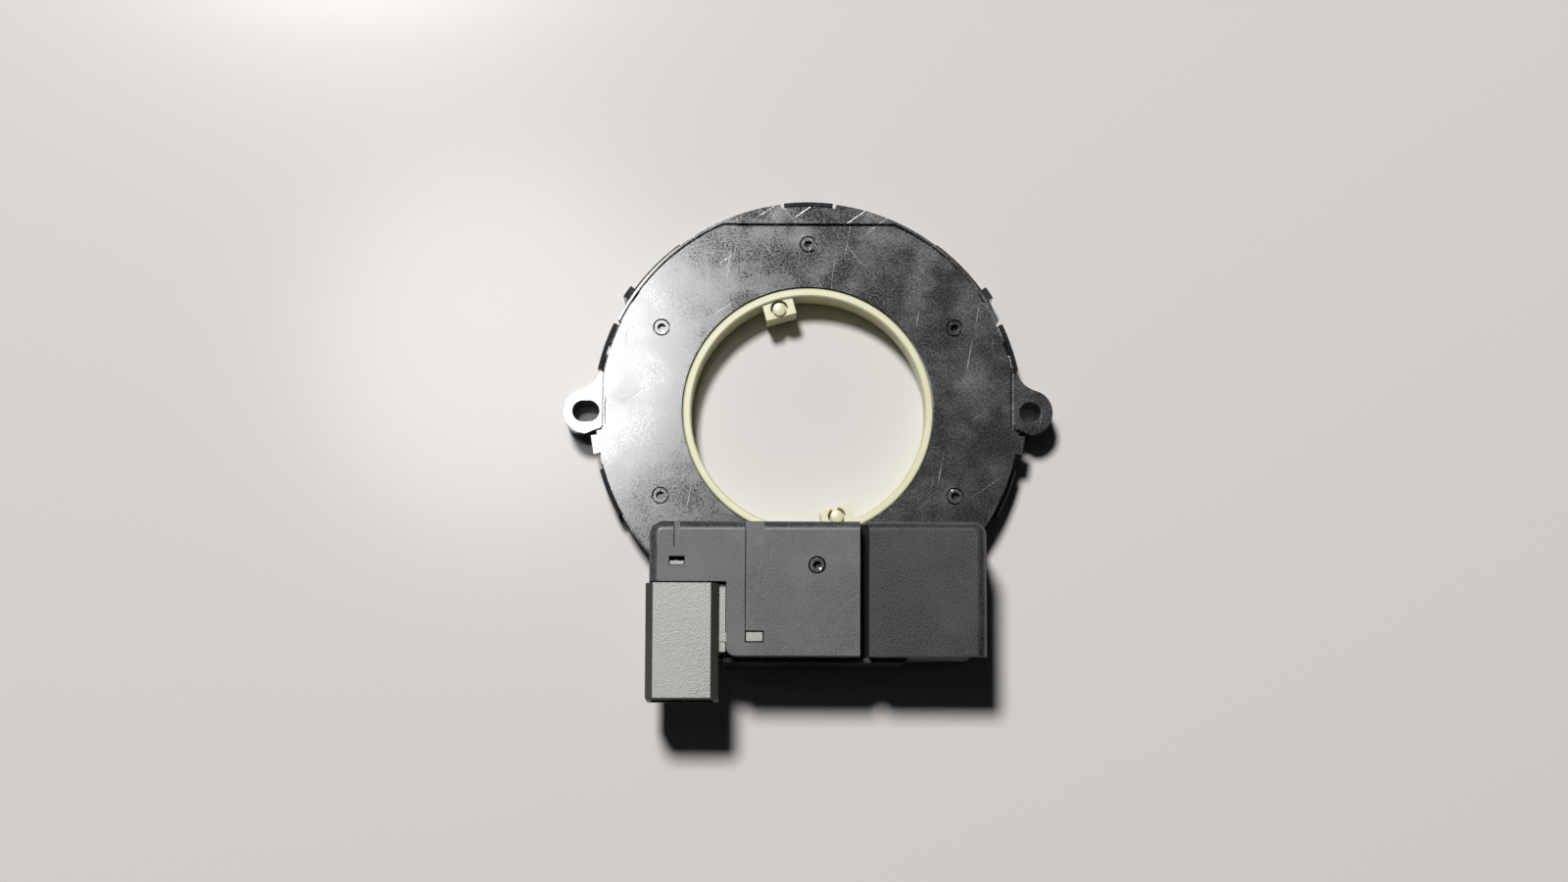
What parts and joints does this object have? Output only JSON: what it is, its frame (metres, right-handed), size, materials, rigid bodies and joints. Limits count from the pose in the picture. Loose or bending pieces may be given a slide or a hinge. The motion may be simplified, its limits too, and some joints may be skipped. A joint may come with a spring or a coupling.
{
  "type": "steering angle sensor",
  "caption": "Flat ring-shaped steering angle sensor with a turning nylon hub, two mounting ears, a raised electronics box and a connector socket.",
  "frame": {"origin": "on the rotor's axis, in the plane of the rear face and of the rear of the mounting ears", "axes": "+Z along the rotor's axis towards the cover, +X towards the ear with the round hole, +Y away from the electronics box"},
  "size_m": [0.1212, 0.1259, 0.0295],
  "materials": {
    "black_pbt": "fine spark-eroded grain, lightly scratched",
    "natural_nylon": "moulded, slightly translucent",
    "olive_pbt": "fine moulded grain",
    "white_acetal": "smooth moulded",
    "tinned_brass": "bright tin",
    "board_laminate": "solder mask",
    "chip_epoxy": "moulded",
    "ferrite": "sintered",
    "can_aluminium": "drawn",
    "can_steel": "pressed",
    "ceramic_body": "fired",
    "resistor_body": "glazed",
    "zinc_steel": "zinc plated"
  },
  "bodies": {
    "housing": {"main_case": "black_pbt", "top_cover": "black_pbt", "rear_cover": "black_pbt", "connector_housing": "olive_pbt", "connector_pins": "tinned_brass", "circuit_board": "board_laminate", "angle_chip_a": "chip_epoxy", "angle_chip_b": "chip_epoxy", "microcontroller": "chip_epoxy", "bus_transceiver": "chip_epoxy", "voltage_regulator": "chip_epoxy", "memory_chip": "chip_epoxy", "crystal": "can_steel", "buffer_capacitor": "can_aluminium", "choke": "ferrite", "ceramic_capacitors": "ceramic_body", "resistors": "resistor_body", "board_screws": "zinc_steel"},
    "rotor": {"rotor": "natural_nylon"},
    "gear_a": {"detecting_gear_a": "white_acetal", "magnet_a": "ferrite"},
    "gear_b": {"detecting_gear_b": "white_acetal", "magnet_b": "ferrite"}
  },
  "joints": [
    {"name": "rotor_spin", "type": "hinge", "parent": "housing", "child": "rotor", "pos_m": [0, 0, 0], "axis": [0, 0, 1], "continuous": true},
    {"name": "gear_a_spin", "type": "hinge", "parent": "housing", "child": "gear_a", "pos_m": [-0.01191, -0.04443, 0], "axis": [0, 0, 1], "continuous": true},
    {"name": "gear_b_spin", "type": "hinge", "parent": "housing", "child": "gear_b", "pos_m": [0.0124, -0.04326, 0], "axis": [0, 0, 1], "continuous": true}
  ],
  "couplings": [
    {"joint": "gear_a_spin", "follows": "rotor_spin", "ratio": -4.75},
    {"joint": "gear_b_spin", "follows": "rotor_spin", "ratio": -5.4286}
  ]
}
